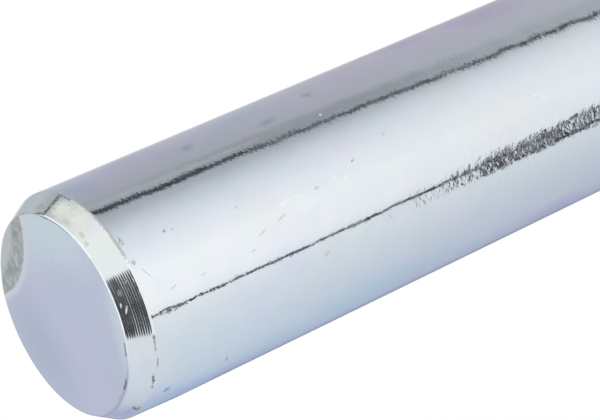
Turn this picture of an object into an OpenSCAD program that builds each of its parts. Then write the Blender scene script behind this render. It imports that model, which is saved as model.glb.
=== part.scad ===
// Pivot pin: one plain round pin, turned from bar, with a chamfer at each end.
// It stands on its foot. The origin is the middle of the foot and +Z runs along the axis.
// All sizes are in millimetres and all angles in degrees.

/* [Shank] */
// Diameter of the shank, which is the bearing surface
pin_d = 20; // [12:0.5:40]
// Length from end face to end face
pin_l = 100; // [40:1:250]

/* [Turned ends] */
// Length of each chamfer, measured along the axis
chamfer_l = 2; // [1:0.25:3]
// Angle between a chamfer and the axis
chamfer_a = 30; // [15:1:45]
// Radius of the broken edge between an end face and its chamfer
face_edge_r = 0.15; // [0.05:0.05:0.3]
// Radius of the broken edge between a chamfer and the shank
shoulder_r = 0.4; // [0.1:0.1:0.8]

/* [Low spot] */
// Depth of the low spot where it runs out through the rim of the upper end face
low_depth = 0.14; // [0.05:0.01:0.4]
// How far the low spot reaches in from the rim of that face
low_reach = 3.1; // [1:0.1:4]
// Radius of the low spot's outline on that face
low_edge_r = 8.5; // [5:0.5:12]
// Direction of the middle of the low spot, round the axis from +X
low_dir = 32; // [0:1:359]

/* [Hidden] */

// Segments that a full turn of the pin is drawn with
round_fn = 192;
// Chords that each broken edge is drawn with
edge_steps = 6;

// Radius of the shank, and of the sharp corner between an end face and its chamfer
pin_r = pin_d / 2;
face_r = pin_r - chamfer_l * tan(chamfer_a);

// Tangent lengths that the two broken edges take off their walls
face_edge_t = face_edge_r * tan((90 - chamfer_a) / 2);
shoulder_t = shoulder_r * tan(chamfer_a / 2);

// The low spot is part of a very large sphere. Its outline on the face is a circle of radius
// low_edge_r, whose middle lies beyond the rim by low_over. The sphere's own middle stands
// above the face by low_rise, so that the sphere is low_depth below the face at the rim.
low_over = low_edge_r - low_reach;
low_rise = (pow(low_edge_r, 2) - pow(low_over, 2) - pow(low_depth, 2)) / (2 * low_depth);
low_sphere_r = norm([low_edge_r, low_rise]);
low_fn = 720;

// Points of an arc about [x, z], from one angle to another, both ends included
function arc(x, z, r, from, to) = [
    for (i = [0 : edge_steps])
        let (a = from + (to - from) * i / edge_steps)
            [x + r * cos(a), z + r * sin(a)]
];

// Outline of one turned end as [radius, height], from the end face up to the shank,
// with the end face at height 0: the face's broken edge, the chamfer, then the shoulder
function end_outline() = concat(
    arc(face_r - face_edge_t, face_edge_r, face_edge_r, -90, -chamfer_a),
    arc(pin_r - shoulder_r, chamfer_l + shoulder_t, shoulder_r, -chamfer_a, 0)
);

// The same outline at the other end of the pin, from the shank to the end face
function upper_outline() =
    let (lower = end_outline(), last = len(lower) - 1)
        [for (i = [0 : last]) [lower[last - i][0], pin_l - lower[last - i][1]]];

// The pin as it leaves the lathe
module turned_bar() {
    rotate_extrude($fn = round_fn)
        polygon(concat([[0, 0]], end_outline(), upper_outline(), [[0, pin_l]]));
}

// What is missing at the rim of the upper face, where facing did not reach the bottom of the
// slope that cropping the bar had left
module low_spot() {
    rotate([0, 0, low_dir])
        translate([face_r + low_over, 0, pin_l + low_rise])
            sphere(r = low_sphere_r, $fn = low_fn);
}

module pivot_pin() {
    color("gainsboro")
        difference() {
            turned_bar();
            low_spot();
        }
}

pivot_pin();
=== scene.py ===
"""Looks of the pivot pin: its turned form, its zinc finishes and the light tent it stands in.

Everything is in metres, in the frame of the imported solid: the pin stands on its foot, +Z runs
along its axis, and the camera's side is -Y. Azimuths run from -Y towards +X.
"""

import logging
import math
from dataclasses import dataclass, field
from enum import Enum

import bpy
from mathutils import Euler, Matrix, Vector, noise


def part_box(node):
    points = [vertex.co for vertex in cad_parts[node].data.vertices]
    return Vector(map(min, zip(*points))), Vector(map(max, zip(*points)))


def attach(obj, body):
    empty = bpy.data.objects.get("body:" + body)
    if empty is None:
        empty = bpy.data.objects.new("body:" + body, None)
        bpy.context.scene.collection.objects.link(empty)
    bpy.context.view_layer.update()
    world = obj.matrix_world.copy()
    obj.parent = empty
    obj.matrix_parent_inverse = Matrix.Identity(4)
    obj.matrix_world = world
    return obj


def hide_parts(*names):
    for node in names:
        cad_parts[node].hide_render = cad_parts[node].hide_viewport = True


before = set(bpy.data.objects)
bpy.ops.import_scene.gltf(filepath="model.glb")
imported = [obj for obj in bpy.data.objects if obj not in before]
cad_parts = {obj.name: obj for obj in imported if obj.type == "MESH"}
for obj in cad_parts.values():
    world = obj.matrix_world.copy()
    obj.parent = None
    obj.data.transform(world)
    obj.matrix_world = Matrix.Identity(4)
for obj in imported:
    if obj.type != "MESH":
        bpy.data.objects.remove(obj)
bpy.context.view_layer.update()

LOG = logging.getLogger("pivot_pin")
NODE = "pivot_pin"
BODY = "root"
MM = 0.001
FULL_TURN = 360.0

Piece = bpy.types.Object
Material = bpy.types.Material
Tree = bpy.types.NodeTree
Node = bpy.types.Node
Socket = bpy.types.NodeSocket
Feed = Node | Socket | Vector | Euler | tuple | float
Point = tuple[float, float]
Stops = tuple[tuple[float, str], ...]

# Settings and inputs that many nodes share
MULTIPLY = {"operation": "MULTIPLY"}
MULTIPLY_ADD = {"operation": "MULTIPLY_ADD"}
SUBTRACT = {"operation": "SUBTRACT"}
DIVIDE = {"operation": "DIVIDE"}
POWER = {"operation": "POWER"}
ABSOLUTE = {"operation": "ABSOLUTE"}
MAXIMUM = {"operation": "MAXIMUM"}
LENGTH = {"operation": "LENGTH"}
DOT = {"operation": "DOT_PRODUCT"}
SMOOTH = {"interpolation_type": "SMOOTHSTEP"}
AS_TEXTURE = {"vector_type": "TEXTURE"}
IN_COLOUR = {"data_type": "RGBA"}
FALLING = {"To Min": 1.0, "To Max": 0.0}

# The middle of a noise texture's values, and the span that most of them lie in
NOISE_MIDDLE = 0.5
NOISE_SPAN = (0.3, 0.7)


# ---------------------------------------------------------------- helpers


def linear(hex_colour: str) -> tuple[float, float, float, float]:
    """Turn an sRGB hex colour into the linear colour that a shader takes.

    Args:
        hex_colour: colour such as "#F0F4F8".

    Returns:
        Red, green, blue and an alpha of 1.
    """
    parts = [int(hex_colour[i : i + 2], 16) / 255 for i in (1, 3, 5)]
    red, green, blue = (p / 12.92 if p <= 0.04045 else ((p + 0.055) / 1.055) ** 2.4 for p in parts)
    return red, green, blue, 1.0


def add_node(
    tree: Tree,
    kind: str,
    settings: dict[str, str | bool] | None = None,
    inputs: dict[str | int, Feed] | tuple[Feed, ...] = (),
    stops: Stops = (),
) -> Node:
    """Add a shader node, set it up and link what feeds it.

    Args:
        tree: node tree that takes the node.
        kind: the node's class without the "ShaderNode" before it, such as "Math".
        settings: values for the node's own properties.
        inputs: for each input, by name or number or in order, a value, a socket or a node
            whose first output in use feeds it.
        stops: position and hex colour of each stop, on a colour ramp.

    Returns:
        The new node.
    """
    node = tree.nodes.new(f"ShaderNode{kind}")
    for name, value in (settings or {}).items():
        setattr(node, name, value)
    for name, value in inputs.items() if isinstance(inputs, dict) else enumerate(inputs):
        if isinstance(value, Node):
            value = next(socket for socket in value.outputs if socket.enabled)
        if isinstance(value, Socket):
            tree.links.new(value, node.inputs[name])
        else:
            node.inputs[name].default_value = value
    for index, (position, colour) in enumerate(stops):
        elements = node.color_ramp.elements
        element = elements[index] if index < 2 else elements.new(position)
        element.position = position
        element.color = linear(colour)
    return node


def direction(azimuth: float, elevation: float) -> Vector:
    """Unit vector of a direction given in degrees.

    Args:
        azimuth: angle from -Y towards +X.
        elevation: angle above the horizon.

    Returns:
        The direction in the pin's frame.
    """
    a = math.radians(azimuth)
    e = math.radians(elevation)
    return Vector((math.sin(a) * math.cos(e), -math.cos(a) * math.cos(e), math.sin(e)))


def euler_of(along: Vector, across: Vector, out: Vector) -> Euler:
    """Rotation that turns X, Y and Z onto the three given axes, in that order."""
    return Matrix((along, across, out)).transposed().to_euler()


# ---------------------------------------------------------------- the pin's form


class Zone(Enum):
    """Stretches of the pin's surface that were made in different ways."""

    SHANK = 0
    CHAMFER = 1
    FACED_FOOT = 2
    FACED_TOP = 3


@dataclass(frozen=True)
class PinSizes:
    """Sizes of the pin as the solid has them."""

    radius: float
    length: float
    chamfer_length: float = 2.0 * MM
    chamfer_angle: float = math.radians(30)
    face_edge_radius: float = 0.15 * MM
    shoulder_radius: float = 0.4 * MM

    @classmethod
    def from_frame(cls) -> "PinSizes":
        """Read the pin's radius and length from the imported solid's box."""
        low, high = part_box(NODE)
        return cls(radius=(high[0] - low[0]) / 2, length=high[2] - low[2])

    @property
    def face_radius(self) -> float:
        """Radius of the sharp corner between an end face and its chamfer."""
        return self.radius - self.chamfer_length * math.tan(self.chamfer_angle)

    def profile(self, below: float) -> Point:
        """Point of the upper end's outline.

        Args:
            below: distance below the upper face; a negative one runs inwards on that face.

        Returns:
            Distance from the axis and height.
        """
        if below < 0:
            return self.face_radius + below, self.length
        radius = min(self.radius, self.face_radius + below * math.tan(self.chamfer_angle))
        return radius, self.length - below


@dataclass(frozen=True)
class LowSpot:
    """Dish at the rim of the upper face, part of a very large sphere."""

    depth: float = 0.14 * MM
    reach: float = 3.1 * MM
    edge_radius: float = 8.5 * MM
    azimuth: float = 122.0
    lip: float = 0.006 * MM
    grain: float = 0.35 * MM
    roughness: float = 0.006 * MM

    @property
    def over(self) -> float:
        """How far beyond the rim the middle of the dish's outline lies."""
        return self.edge_radius - self.reach

    def middle(self, sizes: PinSizes) -> Vector:
        """Middle of the dish's outline, on the level of the upper face."""
        out = direction(self.azimuth, 0)
        return out * (sizes.face_radius + self.over) + Vector((0, 0, sizes.length))

    def surface(self, sizes: PinSizes, place: Vector) -> float:
        """Height of the dish's surface under or over a place.

        Args:
            sizes: sizes of the pin.
            place: point whose X and Y count.

        Returns:
            Height above the foot.
        """
        rise = (self.edge_radius**2 - self.over**2 - self.depth**2) / (2 * self.depth)
        sphere = math.hypot(self.edge_radius, rise)
        away = (place.xy - self.middle(sizes).xy).length
        return sizes.length + rise - math.sqrt(sphere**2 - away**2)


@dataclass
class TurnedPin:
    """The pin's mesh: an outline spun about the axis, as on a lathe."""

    sizes: PinSizes
    low_spot: LowSpot
    segments: int = 360
    edge_steps: int = 6
    merge_gap: float = 0.001 * MM
    # Feed marks in the chamfers, and how unevenly the tool cut them from turn to turn
    feed: float = 0.2 * MM
    groove_depth: float = 0.0022 * MM
    groove_steps: int = 5
    groove_spread: float = 0.6
    groove_wander: float = 0.37
    groove_start: float = 0.5
    # Rings of the mesh along the shank, close beside the edges, and over the two faces
    ring_gap: float = 4.0 * MM
    guard: float = 0.08 * MM
    face_ring_gap: float = 0.14 * MM
    face_ring_depth: float = 4.4 * MM
    face_rings: tuple[float, ...] = (0.8, 0.55, 0.3, 0.0)
    foot_rings: tuple[float, ...] = (0.0, 0.4, 0.8)
    # Small dents that knocks left in the edges
    nick_depth: float = 0.035 * MM
    nick_length: float = 0.55 * MM
    nick_width: float = 0.22 * MM
    nick_stretch: float = 2.0
    nick_level: float = 0.28
    # The stretch of the upper end whose edges are worn rounder; its depth is in chamfer lengths
    worn_azimuth: float = -64.0
    worn_span: float = 44.0
    worn_depth: float = 3.0
    worn_face_edge: float = 0.35 * MM
    worn_shoulder: float = 1.6 * MM
    # Share of the face's edge radius that belongs to the face and not to the chamfer
    face_share: float = 0.3

    def arc(self, middle: Point, radius: float, start: float, end: float) -> list[Point]:
        """Points of a rounded edge.

        Args:
            middle: distance from the axis and height of the arc's middle.
            radius: radius of the edge.
            start: first angle, in radians.
            end: last angle, in radians.

        Returns:
            Points as distance from the axis and height, both ends included.
        """
        turns = [start + (end - start) * i / self.edge_steps for i in range(self.edge_steps + 1)]
        return [(middle[0] + radius * math.cos(t), middle[1] + radius * math.sin(t)) for t in turns]

    def chamfer(self, start: Point, end: Point) -> list[Point]:
        """Points of a chamfer with the feed marks that the tool left in it.

        Args:
            start: first point of the slope, already in the outline.
            end: last point of the slope, which the outline adds next.

        Returns:
            The points between them.
        """
        slope = Vector(end) - Vector(start)
        outward = Vector((slope.y, -slope.x)).normalized()
        turns = round(slope.length / self.feed)
        points = []
        for i in range(1, turns * self.groove_steps):
            share = i / (turns * self.groove_steps)
            wander = noise.noise(Vector((self.groove_wander * turns * share, 0, self.groove_start)))
            uneven = 1 + self.groove_spread * wander
            depth = self.groove_depth * uneven * (1 - math.cos(math.tau * turns * share)) / 2
            points.append(tuple(Vector(start) + slope * share - outward * depth))
        return points

    def end_outline(self) -> list[Point]:
        """Outline of one end, from its face's flat part up to the shank.

        Returns:
            Points as distance from the axis and height over the face.
        """
        s = self.sizes
        slope = -s.chamfer_angle
        face_tangent = s.face_edge_radius * math.tan((math.pi / 2 - s.chamfer_angle) / 2)
        shoulder_tangent = s.shoulder_radius * math.tan(s.chamfer_angle / 2)
        face_middle = (s.face_radius - face_tangent, s.face_edge_radius)
        face_edge = self.arc(face_middle, s.face_edge_radius, -math.pi / 2, slope)
        shoulder_middle = (s.radius - s.shoulder_radius, s.chamfer_length + shoulder_tangent)
        shoulder = self.arc(shoulder_middle, s.shoulder_radius, slope, 0)
        return face_edge + self.chamfer(face_edge[-1], shoulder[0]) + shoulder

    def outline(self) -> list[Point]:
        """Outline of the whole pin, from the middle of the foot to that of the upper face.

        Returns:
            Points as distance from the axis and height over the foot.
        """
        s = self.sizes
        lower = self.end_outline()
        upper = [(r, s.length - z) for r, z in reversed(lower)]
        flat = lower[0][0]
        count = int(self.face_ring_depth / self.face_ring_gap)
        rings = [flat - self.face_ring_gap * i for i in range(1, count)]
        inner = [rings[-1] * share for share in self.face_rings]
        bottom, top = lower[-1][1] + self.guard, upper[0][1] - self.guard
        count = round((top - bottom) / self.ring_gap)
        shank = [(s.radius, bottom + (top - bottom) * i / count) for i in range(count + 1)]
        foot = [(flat * share, 0.0) for share in self.foot_rings] + [(flat - self.guard, 0.0)]
        face = [(r, s.length) for r in rings + inner]
        return foot + lower + shank + upper + face

    def spin(self) -> Piece:
        """Draw the outline with one extruded point and spin it about the axis.

        Returns:
            The pin, closed and with its faces outwards.
        """
        bpy.ops.object.select_all(action="DESELECT")
        bpy.ops.mesh.primitive_plane_add(size=MM, location=(0, 0, 0))
        pin = bpy.context.object
        pin.name = "turned_pin"
        bpy.ops.object.mode_set(mode="EDIT")
        bpy.ops.mesh.select_all(action="SELECT")
        bpy.ops.mesh.merge(type="CENTER")
        points = [Vector((r, 0, z)) for r, z in self.outline()]
        for last, point in zip(points, points[1:]):
            bpy.ops.mesh.extrude_region_move(TRANSFORM_OT_translate={"value": point - last})
        bpy.ops.mesh.select_all(action="SELECT")
        bpy.ops.mesh.spin(steps=self.segments, angle=math.tau, center=(0, 0, 0), axis=(0, 0, 1))
        bpy.ops.mesh.select_all(action="SELECT")
        bpy.ops.mesh.remove_doubles(threshold=self.merge_gap)
        bpy.ops.mesh.normals_make_consistent(inside=False)
        bpy.ops.object.mode_set(mode="OBJECT")
        return pin

    def press_low_spot(self, pin: Piece) -> None:
        """Lower the upper face to the dish, with a soft lip and the grain of a cropped end.

        Args:
            pin: the spun pin.
        """
        spot = self.low_spot
        for vertex in pin.data.vertices:
            place = vertex.co
            if place.z < self.sizes.length - self.sizes.chamfer_length:
                continue
            grain = noise.noise(place / spot.grain) * spot.roughness
            sunk = place.z - spot.surface(self.sizes, place)
            if sunk > -spot.lip:
                share = min(1.0, max(0.0, sunk / spot.lip))
                blend = spot.lip * max(0.0, 1 - abs(sunk) / spot.lip) ** 2 / 4
                place.z -= max(sunk, 0.0) + blend + share * abs(grain)

    def wear_edges(self, pin: Piece) -> None:
        """Round the upper end's two edges off where the pin was worn, fading out to both sides.

        Args:
            pin: the spun pin.
        """
        s = self.sizes
        slope = Vector((math.cos(s.chamfer_angle), math.sin(s.chamfer_angle)))
        middle = direction(self.worn_azimuth, 0)
        for vertex in pin.data.vertices:
            place = vertex.co
            radius = place.xy.length
            below = s.length - place.z
            deep = below > self.worn_depth * s.chamfer_length
            if deep or radius < s.face_radius - self.worn_face_edge:
                continue
            turn = math.degrees(math.acos(max(-1.0, min(1.0, middle.xy.dot(place.xy) / radius))))
            worn = max(0.0, 1 - (turn / self.worn_span) ** 2) ** 2
            if not worn:
                continue
            # Depth under each of the three surfaces, with its normal
            face = (below, Vector((0, 1)))
            cone = ((s.face_radius + below * math.tan(s.chamfer_angle) - radius) * slope.x, slope)
            shank = (s.radius - radius, Vector((1, 0)))
            for beside, width in ((face, self.worn_face_edge), (shank, self.worn_shoulder)):
                reach = width * worn
                (first, first_normal), (second, second_normal) = beside, cone
                near = max(0.0, reach - abs(first - second))
                cut = near**2 / (4 * reach) - max(0.0, min(first, second))
                if cut > 0:
                    share = 0.5 + 0.5 * max(-1.0, min(1.0, (second - first) / reach))
                    normal = (first_normal * share + second_normal * (1 - share)).normalized()
                    place.xy *= 1 - cut * normal.x / radius
                    place.z -= cut * normal.y

    def nick_edges(self, pin: Piece) -> None:
        """Press small dents into the broken edges of both ends, as knocks leave them.

        Args:
            pin: the spun pin.
        """
        s = self.sizes
        for vertex in pin.data.vertices:
            place = vertex.co
            radius = place.xy.length
            height = min(place.z, s.length - place.z)
            face_edge = math.hypot(radius - s.face_radius, height)
            shoulder = math.hypot(radius - s.radius, height - s.chamfer_length)
            edge = min(face_edge, shoulder)
            if edge > self.nick_width or radius < s.face_radius - self.nick_width:
                continue
            spot = Vector((place.x, place.y, place.z * self.nick_stretch)) / self.nick_length
            knock = max(0.0, noise.noise(spot) - self.nick_level)
            depth = knock * self.nick_depth * (1 - (edge / self.nick_width) ** 2)
            place.xy *= 1 - depth / radius

    def zone_of(self, centre: Vector) -> Zone:
        """Find the zone that a face of the mesh belongs to.

        Args:
            centre: middle of the face.

        Returns:
            Its zone.
        """
        s = self.sizes
        height = min(centre.z, s.length - centre.z)
        if height > s.chamfer_length:
            return Zone.SHANK
        if centre.xy.length > s.face_radius - self.face_share * s.face_edge_radius:
            return Zone.CHAMFER
        return Zone.FACED_FOOT if centre.z < s.length / 2 else Zone.FACED_TOP

    def dress(self, pin: Piece, finishes: dict[Zone, Material]) -> None:
        """Give each zone of the pin its finish.

        Args:
            pin: the spun pin.
            finishes: material of each zone.
        """
        for zone in Zone:
            pin.data.materials.append(finishes[zone])
        for polygon in pin.data.polygons:
            polygon.material_index = self.zone_of(polygon.center).value

    def build(self, finishes: dict[Zone, Material]) -> Piece:
        """Make the finished pin.

        Args:
            finishes: material of each zone.

        Returns:
            The pin, at the origin, unturned and unscaled.
        """
        pin = self.spin()
        self.press_low_spot(pin)
        self.wear_edges(pin)
        self.nick_edges(pin)
        self.dress(pin, finishes)
        bpy.ops.object.select_all(action="DESELECT")
        pin.select_set(True)
        bpy.context.view_layer.objects.active = pin
        bpy.ops.object.shade_smooth()
        return pin


# ---------------------------------------------------------------- marks


@dataclass(frozen=True)
class TraceLook:
    """How one kind of mark changes the finish round it."""

    colour: str
    cover: float
    height: float = 0.0
    core: float = 0.3
    broken: float = 0.0
    dull: float = 0.0
    rough: float = 0.0
    haze: float = 0.0


class Trace(Enum):
    """What left a mark on the pin, and where highlights and shade are painted among the marks."""

    # A shallow pit, its dark painted in as the shade in the pit
    PIT = TraceLook("#4E5250", 0.75, -0.008 * MM, 0.3, 0.1, 0.7)
    SMUDGE = TraceLook("#8E9692", 0.34, 0.0, 0.0, 0.3, 0.4)
    SCRATCH = TraceLook("#9DA5AC", 0.40, -0.004 * MM, 0.3, 0.15, 0.3)
    # Painted highlight: white paint on a slightly raised spot, in place of a small bright reflection
    GLINT = TraceLook("#FFFFFF", 0.90, 0.003 * MM, 0.4, 0.06, 0.7)
    # Painted highlight along a rounded edge: white paint in place of the edge's bright reflection
    BURNISH = TraceLook("#FFFFFF", 0.95, 0.0, 0.5, 0.15, 0.8)
    # Painted shade: darker dashes along and beside the edges and at the shoulder
    GRIME = TraceLook("#34383A", 0.85, 0.0, 0.3, 0.45, 0.8)
    # A shallow dent, with its shade painted in dark
    NICK = TraceLook("#3A3E42", 0.80, -0.006 * MM, 0.4, 0.1, 0.7)
    # Painted shade: thin dark lines along and beside the edges, and round the far rim of the face
    THIN_GRIME = TraceLook("#55595D", 0.75, 0.0, 0.2, 0.35, 0.7)
    SHOULDER_GRIME = TraceLook("#AEB1A7", 0.70, 0.0, 0.2, 0.5, 0.6)
    WHITE_RUST = TraceLook("#C9CCBF", 0.75, 0.002 * MM, 0.2, 0.3, 0.6)
    CREAM_RUST = TraceLook("#EEEEE4", 0.80, 0.002 * MM, 0.2, 0.3, 0.6)
    GREY_STAIN = TraceLook("#A9ADA9", 0.85, 0.0, 0.5, 0.2, 0.6)
    BROWN_STAIN = TraceLook("#7A6458", 0.45, 0.0, 0.0, 0.5, 0.4)
    BLUE_FLECK = TraceLook("#6FB4EA", 0.80, 0.0, 0.3, 0.4)
    LILAC_FILM = TraceLook("#E3D8F2", 0.80, 0.0, 0.0, 0.3)
    BLUE_FILM = TraceLook("#D3DFF8", 0.80, 0.0, 0.0, 0.3)
    CYAN_FILM = TraceLook("#DCEEF4", 0.80, 0.0, 0.0, 0.3)
    ROSE_FILM = TraceLook("#F3EFF5", 0.60, 0.0, 0.0, 0.3)
    CREAM_FILM = TraceLook("#F4F2EC", 0.50, 0.0, 0.0, 0.3)
    CLEAR_FILM = TraceLook("#F2FFFB", 0.90, 0.0, 0.0, 0.1)
    GREY_FILM = TraceLook("#D3DAE3", 0.90, 0.0, 0.0, 0.1)
    RUBBED = TraceLook("#FFFFFF", 0.0, core=0.8, rough=1.0, haze=0.02)
    SCUFFED = TraceLook("#FFFFFF", 0.0, core=0.5, rough=0.4)


# How far the flecks push the outline of a fully broken mark, in shares of its size
RAGGED = 5.0
# How far a spot reaches in and out of the surface
SPOT_REACH = 1.5 * MM


@dataclass(frozen=True)
class SurfaceInputs:
    """What the parts of one finish share; the flecks centre on 0."""

    tree: Tree
    sizes: PinSizes
    place: Socket
    flecks: Node
    masks: dict["Mark", Node] = field(default_factory=dict)


@dataclass(frozen=True)
class Mark:
    """A mark, placed by azimuth in degrees and by millimetres below the upper face.

    A negative distance runs inwards on that face.
    """

    trace: Trace
    azimuth: float
    below: float

    def away(self, surface: SurfaceInputs) -> Node:
        """Build the distance from the mark's middle, which is 1 on its outline."""
        raise NotImplementedError

    def mask(self, surface: SurfaceInputs) -> Node:
        """Build the mark's mask.

        Args:
            surface: what the finish's parts share.

        Returns:
            Node that is 1 in the middle of the mark and 0 outside it.
        """
        look = self.trace.value
        pushed = (surface.flecks, RAGGED * look.broken, self.away(surface))
        ragged = add_node(surface.tree, "Math", MULTIPLY_ADD, pushed)
        span = {"Value": ragged, "From Min": look.core, **FALLING}
        return add_node(surface.tree, "MapRange", SMOOTH, span)


@dataclass(frozen=True)
class Spot(Mark):
    """A round or long mark. Its length, in millimetres, runs down the pin before it is turned."""

    length: float
    width: float
    turn: float = 0.0

    def away(self, surface: SurfaceInputs) -> Node:
        """Build the distance from the spot's middle.

        Args:
            surface: what the finish's parts share.

        Returns:
            Node that is 0 in the middle and 1 on the outline.
        """
        out = direction(self.azimuth, 0)
        radius, level = surface.sizes.profile(self.below * MM)
        normal = out if self.below >= 0 else Vector((0, 0, 1))
        down = Vector((0, 0, 1)) if self.below >= 0 else out
        turned = Matrix.Rotation(math.radians(self.turn), 3, normal) @ down
        placed = {
            "Vector": surface.place,
            "Location": out * radius + Vector((0, 0, level)),
            "Rotation": euler_of(turned, normal.cross(turned), normal),
            "Scale": (self.length / 2 * MM, self.width / 2 * MM, SPOT_REACH),
        }
        spot = add_node(surface.tree, "Mapping", AS_TEXTURE, placed)
        return add_node(surface.tree, "VectorMath", LENGTH, (spot,))


@dataclass(frozen=True)
class EdgeLine(Mark):
    """A mark that follows an edge round the pin, over a span in degrees."""

    span: float
    width: float
    end_power: float = 4.0

    def away(self, surface: SurfaceInputs) -> Node:
        """Build the distance from the line.

        Args:
            surface: what the finish's parts share.

        Returns:
            Node that is 0 on the line, and 1 on its outline and at its ends.
        """
        tree = surface.tree
        radius, level = surface.sizes.profile(self.below * MM)
        flat = add_node(tree, "VectorMath", MULTIPLY, (surface.place, (1, 1, 0)))
        reach = add_node(tree, "VectorMath", LENGTH, (flat,))
        parts = add_node(tree, "SeparateXYZ", None, (surface.place,))
        outward = add_node(tree, "Math", SUBTRACT, (reach, radius))
        upward = add_node(tree, "Math", SUBTRACT, (parts.outputs["Z"], level))
        off = add_node(tree, "CombineXYZ", None, (outward, upward))
        beside = add_node(tree, "VectorMath", LENGTH, (off,))
        unit = add_node(tree, "VectorMath", {"operation": "NORMALIZE"}, (flat,))
        facing = add_node(tree, "VectorMath", DOT, (unit, direction(self.azimuth, 0)))
        angle = add_node(tree, "Math", {"operation": "ARCCOSINE"}, (facing,))
        share = add_node(tree, "Math", DIVIDE, (angle, math.radians(self.span / 2)))
        across = add_node(tree, "Math", DIVIDE, (beside, self.width / 2 * MM))
        along = add_node(tree, "Math", POWER, (share, self.end_power))
        return add_node(tree, "Math", MAXIMUM, (across, along))


def spots(trace: Trace, *places: tuple[float, ...]) -> tuple[Spot, ...]:
    """Make spots of one kind, each from its azimuth, distance below, length, width and turn."""
    return tuple(Spot(trace, *place) for place in places)


def edge_lines(trace: Trace, *places: tuple[float, ...]) -> tuple[EdgeLine, ...]:
    """Make lines of one kind, each from its azimuth, distance below, span and width."""
    return tuple(EdgeLine(trace, *place) for place in places)


# Marks that run along the two edges of the upper end, so that both sides of an edge carry them
EDGE_MARKS = (
    # Painted highlights: white lines along the face edge and the shoulder
    *edge_lines(Trace.BURNISH, (44, 0.05, 50, 0.17), (-3, 0.03, 40, 0.12), (-5, 2, 46, 0.26)),
    # Painted shade: a thin dark line on the face just inside its edge
    EdgeLine(Trace.THIN_GRIME, 53, -0.12, 30, 0.15),
    # Painted shade: a short dark dash on the face inside its edge
    EdgeLine(Trace.GRIME, 63, -0.12, 8, 0.18),
    # Painted shade: thin dark lines round the far rim of the face
    *edge_lines(Trace.THIN_GRIME, (160, 0.02, 190, 0.13), (-110, 0.02, 70, 0.1)),
    EdgeLine(Trace.SHOULDER_GRIME, 34, 2.05, 52, 0.38),
    # Painted shade at the shoulder
    EdgeLine(Trace.THIN_GRIME, 60, 1.9, 12, 0.3),
    # Painted shade: dark dashes beside the face edge, on the face and on the chamfer
    *edge_lines(
        Trace.GRIME, (66.5, 0.1, 8, 0.26), (-31.5, -0.26, 9, 0.26), (-55.5, -0.24, 10, 0.3),
    ),
    # Painted shade: dark lines and dashes along the shoulder
    EdgeLine(Trace.THIN_GRIME, -33, 1.95, 15, 0.28),
    Spot(Trace.GRIME, -52, 1.95, 0.34, 1.3, 10),
    *spots(Trace.THIN_GRIME, (-58, 2.05, 0.3, 0.9, 10), (-41.5, 2.15, 0.26, 1.5)),
)

# Marks on the upper half of the shank
SHANK_MARKS = (
    Spot(Trace.RUBBED, -19.5, 47, 31, 7),
    *spots(Trace.SCUFFED, (37.5, 10.5, 10, 4), (-17.5, 6, 11, 3)),
    *spots(Trace.LILAC_FILM, (74, 9, 12, 4), (72, 40, 8, 4), (66, 49, 14, 6)),
    *spots(Trace.CYAN_FILM, (68, 20, 10, 4), (64, 3.5, 4, 6)),
    Spot(Trace.BLUE_FILM, -74, 6, 8, 4),
    *spots(Trace.LILAC_FILM, (-74, 10, 22, 3), (-72, 48, 10, 5)),
    Spot(Trace.CYAN_FILM, -60, 27, 26, 5),
    *spots(Trace.GREY_FILM, (58.6, 27.1, 2, 1.6), (57, 14, 2.4, 1.6, 30), (50, 21.5, 3.2, 1.4, 10)),
    *spots(Trace.CREAM_FILM, (3, 15.5, 8, 5), (1, 41, 12, 5)),
    Spot(Trace.ROSE_FILM, 21, 25, 6, 4),
    *EDGE_MARKS,
    # Pit with its shade painted dark
    Spot(Trace.PIT, 16.2, 6.3, 0.34, 0.24, 40),
    *spots(
        Trace.SMUDGE, (16, 6.4, 0.8, 0.4, 40), (15.3, 7.1, 0.5, 0.4), (12.7, 13.3, 0.6, 0.3, 20),
        (5.3, 21, 0.9, 0.4, 10),
    ),
    # Pit with its shade painted dark
    Spot(Trace.PIT, 10.2, 25.4, 0.3, 0.18, 30),
    *spots(
        Trace.SMUDGE, (10.6, 25.6, 0.6, 0.3, 35), (20, 31.5, 0.5, 0.3, 20),
        (16.2, 29.6, 0.6, 0.3, 20),
    ),
    Spot(Trace.GREY_STAIN, 58.6, 27.1, 1.1, 1),
    *spots(Trace.SMUDGE, (44.1, 46.6, 0.7, 1.1), (-25.9, 19.9, 0.9, 0.6, 20)),
    # Pit with its shade painted dark
    Spot(Trace.PIT, -61, 9.5, 0.24, 0.9),
    # Painted highlights: white spots and strokes in place of small bright reflections
    *spots(
        Trace.GLINT, (5.4, 17.6, 2.2, 0.38, 14), (5.6, 19, 1.5, 0.36, -12), (-0.8, 20.2, 0.7, 0.45),
        (6.5, 23.1, 0.6, 0.4), (4.2, 24.2, 0.7, 0.45), (39.9, 25.9, 0.3, 0.35),
        (0.2, 46.6, 0.25, 0.7), (2.7, 45.7, 0.9, 0.22),
    ),
    *spots(
        Trace.SCRATCH, (2.1, 3.1, 1.5, 0.16, -60), (-9, 4.9, 1, 0.16, 12),
        (-9.2, 13.1, 0.8, 0.12, 8), (-9.4, 7.9, 0.9, 0.12, 10),
    ),
    *spots(Trace.SMUDGE, (-3.2, 14.5, 1.5, 0.32, 16), (-0.4, 16.7, 1.4, 0.34, 18)),
    # Pit with its shade painted dark
    Spot(Trace.PIT, 21, 2.5, 0.2, 0.3),
    *spots(Trace.SHOULDER_GRIME, (20, 2.5, 0.5, 0.9), (8.5, 2.5, 0.6, 0.6)),
    # Pit with its shade painted dark
    Spot(Trace.PIT, 18.5, 2.55, 0.22, 0.18),
    Spot(Trace.BLUE_FLECK, -65.4, 3.7, 1.2, 0.75, 55),
)

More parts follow.
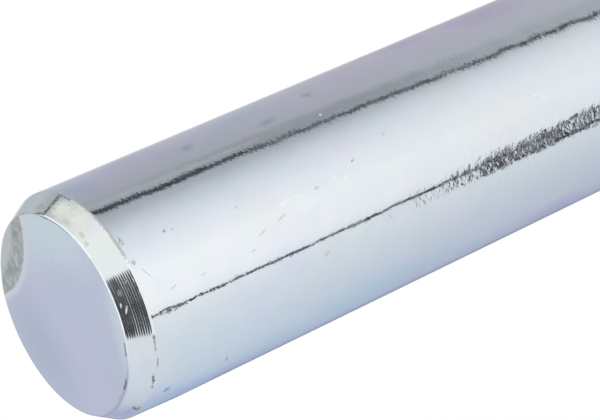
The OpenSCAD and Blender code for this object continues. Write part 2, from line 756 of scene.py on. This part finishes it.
# Marks on the chamfer
CHAMFER_MARKS = (
    *spots(Trace.CREAM_RUST, (55, 1, 1.9, 3.2), (42, 1.1, 1.5, 2.6)),
    Spot(Trace.LILAC_FILM, -80, 1.2, 2, 3),
    *EDGE_MARKS,
    *spots(Trace.WHITE_RUST, (46.5, 0.45, 0.6, 1.5), (34.3, 0.55, 0.5, 1), (28.8, 0.4, 0.4, 0.9)),
    Spot(Trace.GREY_STAIN, 70.5, 0.65, 0.8, 1.9),
    *spots(Trace.BROWN_STAIN, (-1.5, 0.6, 0.5, 0.6), (2, 1.3, 0.4, 0.4)),
    # Painted highlights on the chamfer: white strokes in place of small bright reflections
    *spots(Trace.GLINT, (-10.5, 0.6, 0.16, 0.9, -20), (-7.5, 0.35, 0.12, 0.5, -10)),
    # Dents on the chamfer, their shade painted in dark
    *spots(Trace.NICK, (-77.4, 1.4, 1.5, 0.42, -56), (-77.9, 1.75, 1.2, 0.3, 90)),
)

# Marks on the upper face
FACE_MARKS = (
    *spots(Trace.CLEAR_FILM, (84, -1, 11, 22), (50, -1, 9, 14), (-20, -0.2, 4, 22)),
    Spot(Trace.GREY_FILM, -165, -3, 12, 17),
    *EDGE_MARKS,
    Spot(Trace.GREY_STAIN, -68, -0.3, 0.5, 1.4),
)


# ---------------------------------------------------------------- finishes


@dataclass(frozen=True)
class Grain:
    """A pattern of noise: the real size of its grains, and how much finer detail it has."""

    size: float
    detail: float = 1.0
    roughness: float = 0.5

    def at(self, place: Node | Socket) -> dict[str | int, Feed]:
        """Inputs of a noise texture that draws the pattern."""
        finer = {"Detail": self.detail, "Roughness": self.roughness}
        return {"Vector": place, "Scale": 1 / self.size, **finer}


@dataclass(frozen=True)
class BrightZinc:
    """Bright zinc plate with a clear passivation, on turned steel.

    The zinc gives a near mirror, slightly blue. The passivation is a thin film whose colour
    wanders between blue, lilac and green over a few millimetres.
    """

    sizes: PinSizes
    name: str = "Bright zinc on turned steel"
    tints: Stops = ((0.3, "#EDF0F8"), (0.42, "#F1F4F8"), (0.55, "#EEF4F5"), (0.7, "#F3F3F9"))
    wander: Grain = Grain(2.5 * MM, 3.0, 0.55)
    gloss: Point = (0.05, 0.12)
    marks: tuple[Mark, ...] = CHAMFER_MARKS
    speckle: Grain = Grain(0.30 * MM, 3.0, 0.6)
    patches: Grain = Grain(1.5 * MM, 4.0)
    waves: Grain = Grain(4.0 * MM)
    wave_height: float = 0.030 * MM

    def surface(self, tree: Tree) -> SurfaceInputs:
        """Build what the parts of the finish share.

        Args:
            tree: node tree of the material.

        Returns:
            Object coordinates, flecks and the mask of each mark.
        """
        place = add_node(tree, "TexCoord").outputs["Object"]
        speckle = add_node(tree, "TexNoise", None, self.speckle.at(place))
        flecks = add_node(tree, "Math", SUBTRACT, (speckle, NOISE_MIDDLE))
        surface = SurfaceInputs(tree, self.sizes, place, flecks)
        for mark in self.marks:
            surface.masks[mark] = mark.mask(surface)
        return surface

    def film(self, surface: SurfaceInputs) -> Node:
        """Build the film's colour, a slow wander between the tints."""
        wander = add_node(surface.tree, "TexNoise", None, self.wander.at(surface.place))
        return add_node(surface.tree, "ValToRGB", None, {"Fac": wander}, self.tints)

    def colour(self, surface: SurfaceInputs) -> Node:
        """Lay the marks' colours, painted highlights and shade among them, over the film one by one.

        Args:
            surface: what the finish's parts share.

        Returns:
            Node that gives the colour.
        """
        colour = self.film(surface)
        for mark, mask in surface.masks.items():
            look = mark.trace.value
            if look.cover:
                cover = add_node(surface.tree, "Math", MULTIPLY, (mask, look.cover))
                layers = {0: cover, 6: colour, 7: linear(look.colour)}
                colour = add_node(surface.tree, "Mix", IN_COLOUR, layers)
        return colour

    def with_marks(
        self,
        surface: SurfaceInputs,
        plain: Node | float,
        effect: str,
        share: float = 1.0,
        clamp: bool = False,
    ) -> Node | float:
        """Add what each mark does to one property of the finish.

        Args:
            surface: what the finish's parts share.
            plain: the property without the marks.
            effect: field of a mark's look that says how much it adds.
            share: factor on every mark's effect.
            clamp: whether the property stays between 0 and 1.

        Returns:
            The property with the marks.
        """
        settings = {**MULTIPLY_ADD, "use_clamp": clamp}
        for mark, mask in surface.masks.items():
            amount = getattr(mark.trace.value, effect)
            if amount:
                plain = add_node(surface.tree, "Math", settings, (mask, share * amount, plain))
        return plain

    def bare(self, surface: SurfaceInputs) -> Node | float:
        """Build the share of bare metal, hidden by dirt, corrosion, painted highlights and painted
        shade.
        """
        return self.with_marks(surface, 1.0, "dull", -1.0, clamp=True)

    def roughness(self, surface: SurfaceInputs) -> Node:
        """Build the roughness, which varies a little from patch to patch.

        Args:
            surface: what the finish's parts share.

        Returns:
            Node that gives the roughness.
        """
        patches = add_node(surface.tree, "TexNoise", None, self.patches.at(surface.place))
        names = ("From Min", "From Max", "To Min", "To Max")
        spread = dict(zip(names, (*NOISE_SPAN, *self.gloss)))
        plain = add_node(surface.tree, "MapRange", None, {"Value": patches, **spread})
        return self.with_marks(surface, plain, "haze")

    def height(self, surface: SurfaceInputs) -> Node:
        """Build the relief: slow waves of the metal, and the marks.

        Args:
            surface: what the finish's parts share.

        Returns:
            Node that gives the height in metres.
        """
        waves = add_node(surface.tree, "TexNoise", None, self.waves.at(surface.place))
        plain = add_node(surface.tree, "Math", MULTIPLY, (waves, self.wave_height))
        return self.with_marks(surface, plain, "height")

    def build(self) -> Material:
        """Make the material.

        Returns:
            The finish, ready to assign.
        """
        material = bpy.data.materials.new(self.name)
        material.use_nodes = True
        tree = material.node_tree
        tree.nodes.clear()
        surface = self.surface(tree)
        raised = {"Height": self.height(surface), "Strength": 1.0, "Distance": 1.0}
        relief = add_node(tree, "Bump", None, raised)
        look = {
            "Metallic": self.bare(surface),
            "Base Color": self.colour(surface),
            "Roughness": self.roughness(surface),
            "Normal": relief,
        }
        shader = add_node(tree, "BsdfPrincipled", None, look)
        add_node(tree, "OutputMaterial", None, {"Surface": shader})
        return material


@dataclass(frozen=True)
class GroundBarZinc(BrightZinc):
    """Bright zinc on the shank: a ground bar with a fine lay round the axis.

    The lay is sparse: flat metal between short grooves that run round the pin, so the edges of
    what the metal mirrors look frayed. Stronger blues and lilacs are painted on the flanks and
    on the back, a painted sheen for the film seen at a slant, and the front keeps the plain film.
    """

    name: str = "Bright zinc on ground bar"
    wander: Grain = Grain(7 * MM, 3.0, 0.55)
    gloss: Point = (0.05, 0.09)
    marks: tuple[Mark, ...] = SHANK_MARKS
    # Tints painted on the flanks and the back: a painted sheen for the film seen at a slant
    flank_sheen_tints: Stops = ((0.30, "#E3EAF5"), (0.47, "#EEF1F5"), (0.55, "#ECEDF7"), (0.70, "#F0E9F5"))
    flank_sheen_wander: Grain = Grain(6.0 * MM, 2.0)
    # Where the painted sheen of the flanks starts and where it is full, in radii towards +Y
    flank_sheen: Point = (-0.75, -0.3)
    # Grooves of the lay: their size, the share of the noise that makes one, and their depth.
    # Real ones are finer, and these are as coarse as they need to be to show
    groove_spacing: float = 0.34 * MM
    groove_length: float = 0.44 * MM
    groove_height: float = 0.0046 * MM
    groove_span: Point = (0.42, 0.74)
    lay: Grain = Grain(1.0, 2.0, 0.55)
    # Strength of the lay: its least share, and what the patches add
    quiet: float = 0.12
    density: float = 0.5
    lay_patches: Grain = Grain(5.0 * MM)
    grain: Grain = Grain(0.15 * MM, 2.0)
    grain_height: float = 0.0014 * MM
    # Orange peel of the plating, where the marks make the metal rougher
    peel: Grain = Grain(0.55 * MM)
    peel_height: float = 0.013 * MM

    def film(self, surface: SurfaceInputs) -> Node:
        """Add the painted sheen of the flanks, stronger tints, to the film.

        Args:
            surface: what the finish's parts share.

        Returns:
            Node that gives the film's colour.
        """
        tree = surface.tree
        front = super().film(surface)
        wander = add_node(tree, "TexNoise", None, self.flank_sheen_wander.at(surface.place))
        flank_sheen = add_node(tree, "ValToRGB", None, {"Fac": wander}, self.flank_sheen_tints)
        # The painted sheen grows from the front towards +Y
        parts = add_node(tree, "SeparateXYZ", None, (surface.place,))
        start, full = (share * self.sizes.radius for share in self.flank_sheen)
        spread = {"Value": parts.outputs["Y"], "From Min": start, "From Max": full}
        share = add_node(tree, "MapRange", SMOOTH, spread)
        return add_node(tree, "Mix", IN_COLOUR, {0: share, 6: front, 7: flank_sheen})

    def height(self, surface: SurfaceInputs) -> Node:
        """Add the grooves of the lay, a fine grain and the orange peel to the relief.

        Args:
            surface: what the finish's parts share.

        Returns:
            Node that gives the height in metres.
        """
        tree, place = surface.tree, surface.place
        stretch = (1 / self.groove_length, 1 / self.groove_length, 1 / self.groove_spacing)
        stretched = add_node(tree, "Mapping", None, {"Vector": place, "Scale": stretch})
        lay = add_node(tree, "TexNoise", None, self.lay.at(stretched))
        low, high = self.groove_span
        cut = {"Value": lay, "From Min": low, "From Max": high, "To Max": self.groove_height}
        grooves = add_node(tree, "MapRange", SMOOTH, cut)
        grain = add_node(tree, "TexNoise", None, self.grain.at(place))
        fine = add_node(tree, "Math", MULTIPLY_ADD, (grain, self.grain_height, grooves))
        density = add_node(tree, "TexNoise", None, self.lay_patches.at(place))
        strength = add_node(tree, "Math", MULTIPLY_ADD, (density, self.density, self.quiet))
        plain = super().height(surface)
        height = add_node(tree, "Math", MULTIPLY_ADD, (fine, strength, plain))
        peel = add_node(tree, "TexNoise", None, self.peel.at(place))
        raised = add_node(tree, "Math", MULTIPLY, (peel, self.peel_height))
        for mark, mask in surface.masks.items():
            if mark.trace.value.rough:
                share = add_node(tree, "Math", MULTIPLY, (mask, mark.trace.value.rough))
                height = add_node(tree, "Math", MULTIPLY_ADD, (raised, share, height))
        return height


@dataclass(frozen=True)
class FacedZinc(BrightZinc):
    """Bright zinc on the faced foot: a smoother and more even mirror, a little darker."""

    name: str = "Bright zinc on faced steel"
    tints: Stops = ((0.3, "#E2E7F0"), (0.5, "#E5E8F0"), (0.7, "#E8E8F2"))
    wander: Grain = Grain(9 * MM, 3.0, 0.55)
    gloss: Point = (0.06, 0.1)
    marks: tuple[Mark, ...] = ()


@dataclass(frozen=True)
class FacedTopZinc(FacedZinc):
    """Bright zinc on the faced upper end, with the skin of the cropped bar left in the low spot.

    The skin is matt and mottled grey, paler in its middle, and a thin pale halo runs round it.
    """

    name: str = "Bright zinc on faced steel with a dull low spot"
    marks: tuple[Mark, ...] = FACE_MARKS
    low_spot: LowSpot = LowSpot()
    skin: Stops = ((0.30, "#B0B7B0"), (0.5, "#C7CDC6"), (0.68, "#E3E5DF"))
    skin_mottle: Grain = Grain(0.8 * MM, 4.0, 0.6)
    skin_gloss: float = 0.5
    # The outline's fade, and how it lies inside and outside the dish's edge
    edge_fade: float = 0.28 * MM
    fade_sides: Point = (0.7, 0.3)
    edge_warp: float = 0.5 * MM
    halo: str = "#FFF9F7"
    halo_width: float = 0.6 * MM
    halo_softness: float = 1.4
    pale: str = "#E4E5E0"
    pale_inset: float = 1.7 * MM
    pale_softness: float = 0.5

    def dish(self, surface: SurfaceInputs, grown: float, fade: float) -> Node:
        """Build the low spot's mask, whose outline wanders a little.

        Args:
            surface: what the finish's parts share.
            grown: how far the mask reaches beyond the low spot.
            fade: width over which the mask fades.

        Returns:
            Node that is 1 in the low spot and 0 outside it.
        """
        tree = surface.tree
        middle = self.low_spot.middle(self.sizes)
        off = add_node(tree, "VectorMath", SUBTRACT, (surface.place, middle))
        away = add_node(tree, "VectorMath", LENGTH, (off,))
        warped = add_node(tree, "Math", MULTIPLY_ADD, (surface.flecks, self.edge_warp, away))
        edge = self.low_spot.edge_radius + grown
        inside, outside = self.fade_sides
        span = {"From Min": edge - inside * fade, "From Max": edge + outside * fade}
        return add_node(tree, "MapRange", SMOOTH, {"Value": warped, **span, **FALLING})

    def colour(self, surface: SurfaceInputs) -> Node:
        """Lay the halo, the skin and its paler middle over the marked film.

        Args:
            surface: what the finish's parts share.

        Returns:
            Node that gives the colour.
        """
        tree = surface.tree
        mottle = add_node(tree, "TexNoise", None, self.skin_mottle.at(surface.place))
        halo = self.dish(surface, self.halo_width, self.halo_softness * self.halo_width)
        dish = self.dish(surface, 0.0, self.edge_fade)
        skin = add_node(tree, "ValToRGB", None, {"Fac": mottle}, self.skin)
        middle = self.dish(surface, -self.pale_inset, self.pale_softness * self.pale_inset)
        colour = super().colour(surface)
        for mask, layer in ((halo, linear(self.halo)), (dish, skin), (middle, linear(self.pale))):
            colour = add_node(tree, "Mix", IN_COLOUR, {0: mask, 6: colour, 7: layer})
        return colour

    def roughness(self, surface: SurfaceInputs) -> Node:
        """Make the skin matt.

        Args:
            surface: what the finish's parts share.

        Returns:
            Node that gives the roughness.
        """
        plain = super().roughness(surface)
        dish = self.dish(surface, 0.0, self.edge_fade)
        return add_node(surface.tree, "Mix", None, {0: dish, 2: plain, 3: self.skin_gloss})


@dataclass(frozen=True)
class WhiteCard:
    """Matt white card under the pin. It takes the pin's shadow and stays near white."""

    name: str = "White card, matt"
    colour: str = "#F6F6F7"
    glow: str = "#FFFFFF"
    glow_share: float = 0.5

    def build(self) -> Material:
        """Make the material, half lit and half glowing for the camera.

        Returns:
            The finish, ready to assign.
        """
        material = bpy.data.materials.new(self.name)
        material.use_nodes = True
        tree = material.node_tree
        tree.nodes.clear()
        card = add_node(tree, "BsdfDiffuse", None, {"Color": linear(self.colour)})
        glow = add_node(tree, "Emission", None, {"Color": linear(self.glow), "Strength": 1.0})
        path = add_node(tree, "LightPath")
        share = add_node(tree, "Math", MULTIPLY, (path.outputs["Is Camera Ray"], self.glow_share))
        mixed = add_node(tree, "MixShader", None, (share, card, glow))
        add_node(tree, "OutputMaterial", None, {"Surface": mixed})
        return material


# ---------------------------------------------------------------- the light tent


@dataclass(frozen=True)
class Seam:
    """A straight dark seam of the tent, from one direction to another as seen from the pin.

    Directions are azimuth and elevation in degrees, and so is the half width.
    """

    start: Point
    end: Point
    half_width: float
    colour: str
    softness: float = 0.25
    taper: float = 0.2

    def mask(self, tree: Tree, ray: Socket) -> Node:
        """Build the seam's mask.

        Args:
            tree: node tree of the world.
            ray: socket that gives the ray's direction.

        Returns:
            Node that is 1 on the seam and 0 away from it.
        """
        first, last = direction(*self.start), direction(*self.end)
        middle = (first + last).normalized()
        reach = middle.dot(first)
        edge = math.sin(math.radians(self.half_width))
        across = {"From Min": (1 - self.softness) * edge, "From Max": (1 + self.softness) * edge}
        along = {"From Min": reach, "From Max": reach + self.taper * (1 - reach)}
        off = add_node(tree, "VectorMath", DOT, (ray, first.cross(last).normalized()))
        ahead = add_node(tree, "VectorMath", DOT, (ray, middle))
        away = add_node(tree, "Math", ABSOLUTE, (off,))
        line = add_node(tree, "MapRange", SMOOTH, {"Value": away, **across, **FALLING})
        ends = add_node(tree, "MapRange", SMOOTH, {"Value": ahead, **along})
        return add_node(tree, "Math", MULTIPLY, (line, ends))


@dataclass(frozen=True)
class Opening:
    """An opening in the tent's wall, dark because the room behind it is unlit.

    Its outline is a superellipse: a power of 2 gives an ellipse and a high one a rectangle.
    """

    azimuth: float
    elevation: float
    half_width: float
    half_height: float
    colour: str
    power: float = 4.0
    tilt: float = 0.0
    softness: float = 0.08

    def mask(self, tree: Tree, ray: Socket) -> Node:
        """Build the opening's mask.

        Args:
            tree: node tree of the world.
            ray: socket that gives the ray's direction.

        Returns:
            Node that is 1 in the opening and 0 outside it.
        """
        out = direction(self.azimuth, self.elevation)
        level = Vector((0, 0, 1)).cross(out).normalized()
        turn = Matrix.Rotation(math.radians(self.tilt), 3, out)
        rotation = euler_of(turn @ level, turn @ out.cross(level), out)
        scale = (math.sin(math.radians(self.half_width)), math.sin(math.radians(self.half_height)), 1)
        placed = {"Vector": ray, "Rotation": rotation, "Scale": scale}
        local = add_node(tree, "Mapping", AS_TEXTURE, placed)
        parts = add_node(tree, "SeparateXYZ", None, (local,))
        shares = []
        for side in parts.outputs[:2]:
            plain = add_node(tree, "Math", ABSOLUTE, (side,))
            shares.append(add_node(tree, "Math", POWER, (plain, self.power)))
        both = add_node(tree, "Math", {"operation": "ADD"}, tuple(shares))
        away = add_node(tree, "Math", POWER, (both, 1 / self.power))
        fade = {"From Min": 1 - self.softness, "From Max": 1 + self.softness}
        inside = add_node(tree, "MapRange", SMOOTH, {"Value": away, **fade, **FALLING})
        ahead = add_node(tree, "Math", {"operation": "GREATER_THAN"}, (parts.outputs[2], 0.0))
        return add_node(tree, "Math", MULTIPLY, (inside, ahead))


@dataclass(frozen=True)
class LightTent:
    """The tent of white cloth that the pin is lit in, seen only in the pin's own gloss."""

    # Cloth near the ground by azimuth: blue side, white front, grey side
    hem: tuple[tuple[float, str], ...] = (
        (-180, "#858EA2"), (-165, "#949BAC"), (-150, "#AEB6C7"), (-120, "#C0C5D4"),
        (-90, "#C8CCD7"), (-55, "#D8DDE3"), (-25, "#EAEDF1"), (0, "#F1F3F6"), (25, "#EAEDF2"),
        (45, "#DBDFE5"), (56, "#CACED3"), (61, "#BBBFC5"), (67, "#ABAFB5"), (75, "#A9AEB5"),
        (86, "#B4B6BF"), (130, "#BAB9C2"), (160, "#B8B3BF"), (172, "#EEE8F0"), (179, "#EEE8F0"),
    )
    # Cloth between the hem and the horizon by azimuth
    lower: tuple[tuple[float, str], ...] = (
        (-180, "#7F89A0"), (-165, "#8D9AB0"), (-155, "#ADBBCD"), (-145, "#B5C8D8"),
        (-120, "#C8D5E3"), (-90, "#D2DCE7"), (-55, "#E0E7ED"), (-43, "#E8ECF0"), (-25, "#FBFCFE"),
        (3, "#FCFFFF"), (25, "#EFF2F8"), (45, "#DBE0E6"), (60, "#C2C7CE"), (66, "#B5B9C0"),
        (80, "#9FA3AA"), (95, "#A8A9B2"), (130, "#B4B4C3"), (160, "#C3C8CE"), (166, "#D6D9DE"),
        (172, "#F0F2F4"), (179, "#F0F2F4"),
    )
    # Cloth above the horizon by azimuth
    upper: tuple[tuple[float, str], ...] = (
        (-180, "#CDD1DF"), (-165, "#B9BED2"), (-152, "#ABB0CA"), (-138, "#B7C0D2"),
        (-124, "#CCD3DF"), (-108, "#D7DDE5"), (-66, "#E0E5EA"), (-40, "#E4EAEE"), (10, "#F2F7F5"),
        (60, "#F5F6F2"), (92, "#DEE1DC"), (106, "#C9CECE"), (117, "#B1B4B3"), (124, "#B0B5B7"),
        (138, "#BCC4CA"), (155, "#B9BFC2"), (165, "#BFC5CB"), (180, "#CDD1DF"),
    )
    roof: str = "#F4F6F8"
    ground: str = "#D6DADF"
    # Elevations between which each band of cloth gives way to the next
    skirt: Point = (-75.0, -58.0)
    knee: Point = (-41.0, -28.0)
    horizon: Point = (-27.0, -15.0)
    eaves: Point = (42.0, 60.0)
    room: str = "#FFFFFF"
    room_light: float = 0.80
    patches: tuple[Seam | Opening, ...] = (
        # A grey fold beside the upper dark line
        Opening(82.8, -34.2, 9.5, 2.4, "#999CA2", 2.0, 17.0, 0.6),
        Seam((83.5, -32.2), (92.0, -28.0), 1.5, "#ACAEB4"),
        # The seam that shows as the upper dark line along the pin, thin at first
        Seam((49.3, -45), (66.7, -37.0), 1.05, "#33383C"),
        Seam((64.8, -38.0), (75.8, -32), 1.0, "#4D5257"),
        Seam((74.9, -32.5), (91.5, -20), 1.75, "#3C4145"),
        Seam((90.5, -20), (170.2, 40), 1.3, "#22262A"),
        # The seams that show as the lower dark line
        Seam((-38.2, -38.5), (-35.4, -24), 1.0, "#33383C"),
        Seam((-32.7, -38.2), (-29.9, -45), 1.5, "#282C30"),
        Seam((-46.6, -38.8), (-47.6, -44), 1.3, "#3A3F44"),
        # The seam at the back
        Seam((176, -75), (176, 16), 1.4, "#3C4246"),
        # The opening behind the granular band, and the one behind the chamfer's dark patch
        Opening(-41.5, -38.15, 6.6, 1.4, "#272B2F", 6.0),
        Opening(-19.8, 33.6, 28.4, 6.6, "#46474A", 2.0, 5.0, 0.05),
    )

    def cloth(self, tree: Tree, ray: Socket) -> Node:
        """Build the tent's colour in every direction.

        Args:
            tree: node tree of the world.
            ray: socket that gives the ray's direction.

        Returns:
            Node that gives the colour.
        """
        parts = add_node(tree, "SeparateXYZ", None, (ray,))
        front = add_node(tree, "Math", MULTIPLY, (parts.outputs[1], -1.0))
        azimuth = add_node(tree, "Math", {"operation": "ARCTAN2"}, (parts.outputs[0], front))
        once_round = {"Value": azimuth, "From Min": -math.pi, "From Max": math.pi}
        turn = add_node(tree, "MapRange", None, once_round)
        height = add_node(tree, "Math", {"operation": "ARCSINE"}, (parts.outputs[2],))
        walls: list[Feed] = []
        for band in (self.hem, self.lower, self.upper):
            stops = tuple((azimuth / FULL_TURN + 0.5, colour) for azimuth, colour in band)
            walls.append(add_node(tree, "ValToRGB", None, {"Fac": turn}, stops))
        walls.append(linear(self.roof))
        colour = linear(self.ground)
        for (low, high), wall in zip((self.skirt, self.knee, self.horizon, self.eaves), walls):
            span = {"From Min": math.radians(low), "From Max": math.radians(high)}
            step = add_node(tree, "MapRange", SMOOTH, {"Value": height, **span})
            colour = add_node(tree, "Mix", IN_COLOUR, {0: step, 6: colour, 7: wall})
        for patch in self.patches:
            layers = {0: patch.mask(tree, ray), 6: colour, 7: linear(patch.colour)}
            colour = add_node(tree, "Mix", IN_COLOUR, layers)
        return colour

    def build(self) -> None:
        """Hang the tent as the scene's world, with plain white behind it for the camera."""
        world = bpy.data.worlds.new("light_tent")
        bpy.context.scene.world = world
        world.use_nodes = True
        tree = world.node_tree
        tree.nodes.clear()
        white = linear(self.room)
        colour = self.cloth(tree, add_node(tree, "TexCoord").outputs["Generated"])
        path = add_node(tree, "LightPath")
        glossy = (path.outputs["Is Glossy Ray"], path.outputs["Is Transmission Ray"])
        seen = add_node(tree, "Math", MAXIMUM, glossy)
        plain = add_node(tree, "Background", None, {"Color": white, "Strength": self.room_light})
        tent = add_node(tree, "Background", None, {"Color": colour, "Strength": 1.0})
        behind = add_node(tree, "Background", None, {"Color": white, "Strength": 1.0})
        lit = add_node(tree, "MixShader", None, (seen, plain, tent))
        shown = add_node(tree, "MixShader", None, (path.outputs["Is Camera Ray"], lit, behind))
        add_node(tree, "OutputWorld", None, {"Surface": shown})


@dataclass
class Studio:
    """Floor, lamp, tent and camera."""

    tent: LightTent
    card: WhiteCard
    floor_size: float = 4.0
    lamp_place: tuple[float, float, float] = (0.12, 0.2, 0.75)
    lamp_size: float = 0.5
    lamp_power: float = 2.05
    camera_place: tuple[float, float, float] = (0.0, -0.1928, 0.2000)
    camera_aim: tuple[float, float, float] = (-0.00016, 0.0, 0.0749)
    camera_roll: float = -114.4
    lens: float = 160.02
    sensor: float = 36.0
    clip_start: float = 0.01

    def lay_floor(self) -> None:
        """Lay the plain white floor, which keeps the pin's shadow and stays out of its gloss."""
        bpy.ops.object.select_all(action="DESELECT")
        bpy.ops.mesh.primitive_plane_add(size=self.floor_size, location=(0, 0, 0))
        floor = bpy.context.object
        floor.name = "studio_floor"
        floor.visible_glossy = False
        floor.data.materials.append(self.card.build())

    def hang_lamp(self) -> None:
        """Hang one soft lamp over the pin, for the shadow on the floor."""
        bpy.ops.object.light_add(type="AREA", location=self.lamp_place)
        lamp = bpy.context.object
        lamp.name = "soft_lamp"
        lamp.data.shape = "DISK"
        lamp.data.size = self.lamp_size
        lamp.data.energy = self.lamp_power
        lamp.visible_glossy = False
        lamp.rotation_euler = (-Vector(self.lamp_place)).to_track_quat("-Z", "Y").to_euler()

    def set_camera(self) -> None:
        """Set the camera to look down on the upper end of the pin, rolled on its side."""
        bpy.ops.object.camera_add(location=self.camera_place)
        camera = bpy.context.object
        camera.name = "camera"
        aim = Vector(self.camera_aim) - Vector(self.camera_place)
        roll = Matrix.Rotation(math.radians(self.camera_roll), 3, "Z")
        camera.rotation_euler = (aim.to_track_quat("-Z", "Y").to_matrix() @ roll).to_euler()
        camera.data.sensor_width = self.sensor
        camera.data.lens = self.lens
        camera.data.clip_start = self.clip_start
        bpy.context.scene.camera = camera

    def build(self) -> None:
        """Set up the whole studio."""
        self.tent.build()
        self.lay_floor()
        self.hang_lamp()
        self.set_camera()
        bpy.context.scene.view_settings.view_transform = "Standard"


# ---------------------------------------------------------------- main


def main() -> None:
    """Build the studio, the finishes and the pin."""
    logging.basicConfig(level=logging.INFO, format="%(name)s: %(message)s")
    sizes = PinSizes.from_frame()
    LOG.info("pin is %.2f mm across and %.2f mm long", 2 * sizes.radius / MM, sizes.length / MM)
    Studio(LightTent(), WhiteCard()).build()
    finishes = {
        # Near mirror with a frayed lay: the long bearing surface
        Zone.SHANK: GroundBarZinc(sizes).build(),
        # Near mirror cut by feed marks, stained white near the low spot
        Zone.CHAMFER: BrightZinc(sizes).build(),
        # Even mirror without marks
        Zone.FACED_FOOT: FacedZinc(sizes).build(),
        # Even mirror with the matt low spot at its rim
        Zone.FACED_TOP: FacedTopZinc(sizes).build(),
    }
    pin = TurnedPin(sizes, LowSpot()).build(finishes)
    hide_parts(NODE)
    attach(pin, BODY)
    LOG.info("%s has %d faces", pin.name, len(pin.data.polygons))


if __name__ == "__main__":
    main()
